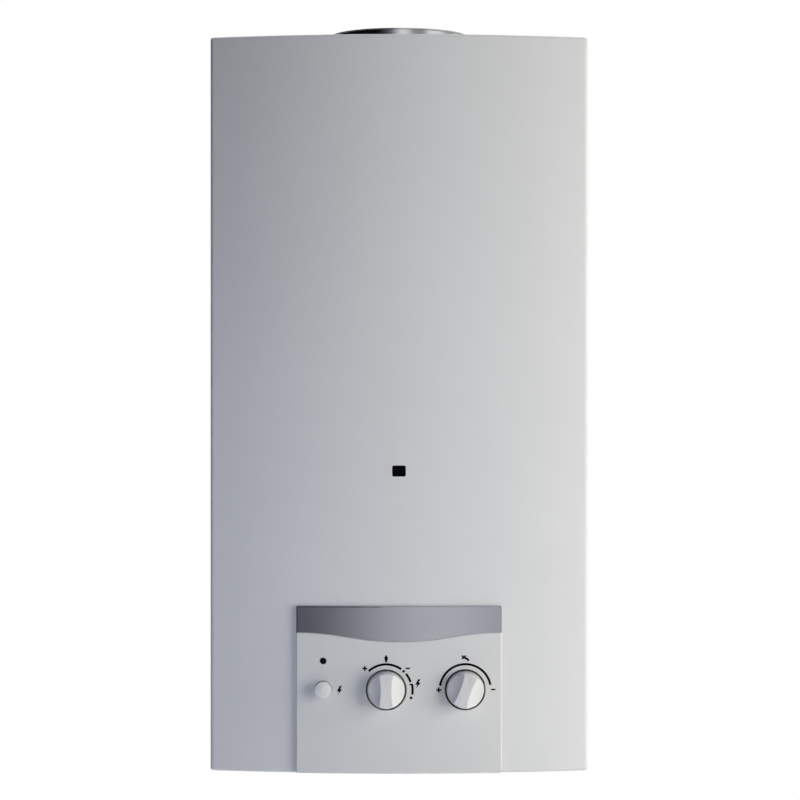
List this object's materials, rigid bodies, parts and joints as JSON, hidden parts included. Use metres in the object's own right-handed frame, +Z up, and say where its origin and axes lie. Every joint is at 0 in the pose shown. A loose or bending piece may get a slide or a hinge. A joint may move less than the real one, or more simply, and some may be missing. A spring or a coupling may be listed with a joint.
{
  "type": "tankless gas water heater",
  "caption": "Wall-hung instantaneous gas water heater: bowed white casing, flue collar, sight window and control panel with knobs and push igniter over a copper exchanger and burner.",
  "frame": {"origin": "on the wall face, midway between the two upper hang holes", "axes": "+Y into the wall, so the front faces -Y; +Z up; +X to the right as seen from the front"},
  "size_m": [0.35, 0.2689, 0.707],
  "materials": {
    "white_enamel": "smooth white enamel, satin gloss",
    "panel_plastic": "moulded white plastic, fine satin",
    "knob_plastic": "moulded white plastic, semi-gloss",
    "silver_band": "silver-painted plastic",
    "lamp_black": "black glossy lens",
    "sight_pane": "clear heat-proof pane",
    "galvanised_steel": "zinc-coated sheet with faint spangle",
    "aluminised_steel": "aluminised sheet, soft sheen",
    "zinc_hardware": "bright zinc plating",
    "stainless_steel": "pressed stainless steel",
    "copper": "drawn copper, lightly tarnished",
    "brass": "machined brass",
    "cast_aluminium": "die-cast, shot-blasted",
    "painted_pipe": "steel pipe, grey",
    "black_plastic": "black heat-proof plastic",
    "ceramic": "unglazed white ceramic",
    "lead_insulation": "red silicone insulation",
    "wire_insulation": "black silicone insulation",
    "rubber": "moulded black rubber"
  },
  "bodies": {
    "chassis": {"front_casing": "white_enamel", "control_panel": "panel_plastic", "panel_band": "silver_band", "indicator_lamp": "lamp_black", "sight_glass": "sight_pane", "back_plate": "galvanised_steel", "sight_holder": "galvanised_steel", "draught_diverter": "galvanised_steel", "diverter_baffle": "galvanised_steel", "exchanger_brackets": "galvanised_steel", "igniter_plate": "galvanised_steel", "pilot_plate": "galvanised_steel", "valve_bracket": "galvanised_steel", "connection_plate": "galvanised_steel", "burner_frame": "galvanised_steel", "flue_collar": "aluminised_steel", "casing_screws": "zinc_hardware", "valve_screws": "zinc_hardware", "panel_nuts": "zinc_hardware", "collar_rivets": "zinc_hardware", "igniter_nut": "zinc_hardware", "button_spring": "zinc_hardware", "plunger_spring": "zinc_hardware", "burner_bars": "stainless_steel", "thermocouple": "stainless_steel", "combustion_jacket": "copper", "exchanger_fins": "copper", "exchanger_tubes": "copper", "jacket_coil": "copper", "cold_riser": "copper", "hot_pipe": "copper", "cold_inlet_pipe": "copper", "pilot_tube": "copper", "thermocouple_lead": "copper", "connectors": "brass", "injectors": "brass", "pilot_burner": "brass", "drain_plug": "brass", "water_valve_body": "brass", "water_valve_cover": "brass", "gas_valve_body": "cast_aluminium", "gas_valve_cover": "cast_aluminium", "safety_magnet": "cast_aluminium", "gas_riser": "painted_pipe", "gas_inlet_pipe": "painted_pipe", "injector_rail": "painted_pipe", "igniter_body": "black_plastic", "flue_sensor": "black_plastic", "overheat_limiter": "black_plastic", "ignition_electrode": "ceramic", "ignition_lead": "lead_insulation", "safety_wires": "wire_insulation", "diaphragm": "rubber"},
    "gas_control": {"gas_knob": "knob_plastic", "gas_spindle": "zinc_hardware"},
    "temperature_control": {"temperature_knob": "knob_plastic", "temperature_spindle": "zinc_hardware"},
    "igniter_plunger": {"igniter_button": "knob_plastic"},
    "water_switch": {"push_rod": "stainless_steel", "gas_plunger": "brass"}
  },
  "joints": [
    {"name": "gas_knob_turn", "type": "hinge", "parent": "chassis", "child": "gas_control", "pos_m": [-0.0118, -0.2504, -0.553], "axis": [0, 1, 0], "range_deg": [-45, 108]},
    {"name": "temperature_knob_turn", "type": "hinge", "parent": "chassis", "child": "temperature_control", "pos_m": [0.0609, -0.2478, -0.553], "axis": [0, 1, 0], "range_deg": [-100, 60]},
    {"name": "igniter_push", "type": "slide", "parent": "chassis", "child": "igniter_plunger", "axis": [0, 1, 0], "range_m": [0, 0.006], "stiffness_N_per_m": 600, "deforming": ["button_spring"]},
    {"name": "diaphragm_push", "type": "slide", "parent": "chassis", "child": "water_switch", "axis": [-1, 0, 0], "range_m": [0, 0.004], "stiffness_N_per_m": 800, "deforming": ["plunger_spring", "diaphragm"]}
  ]
}
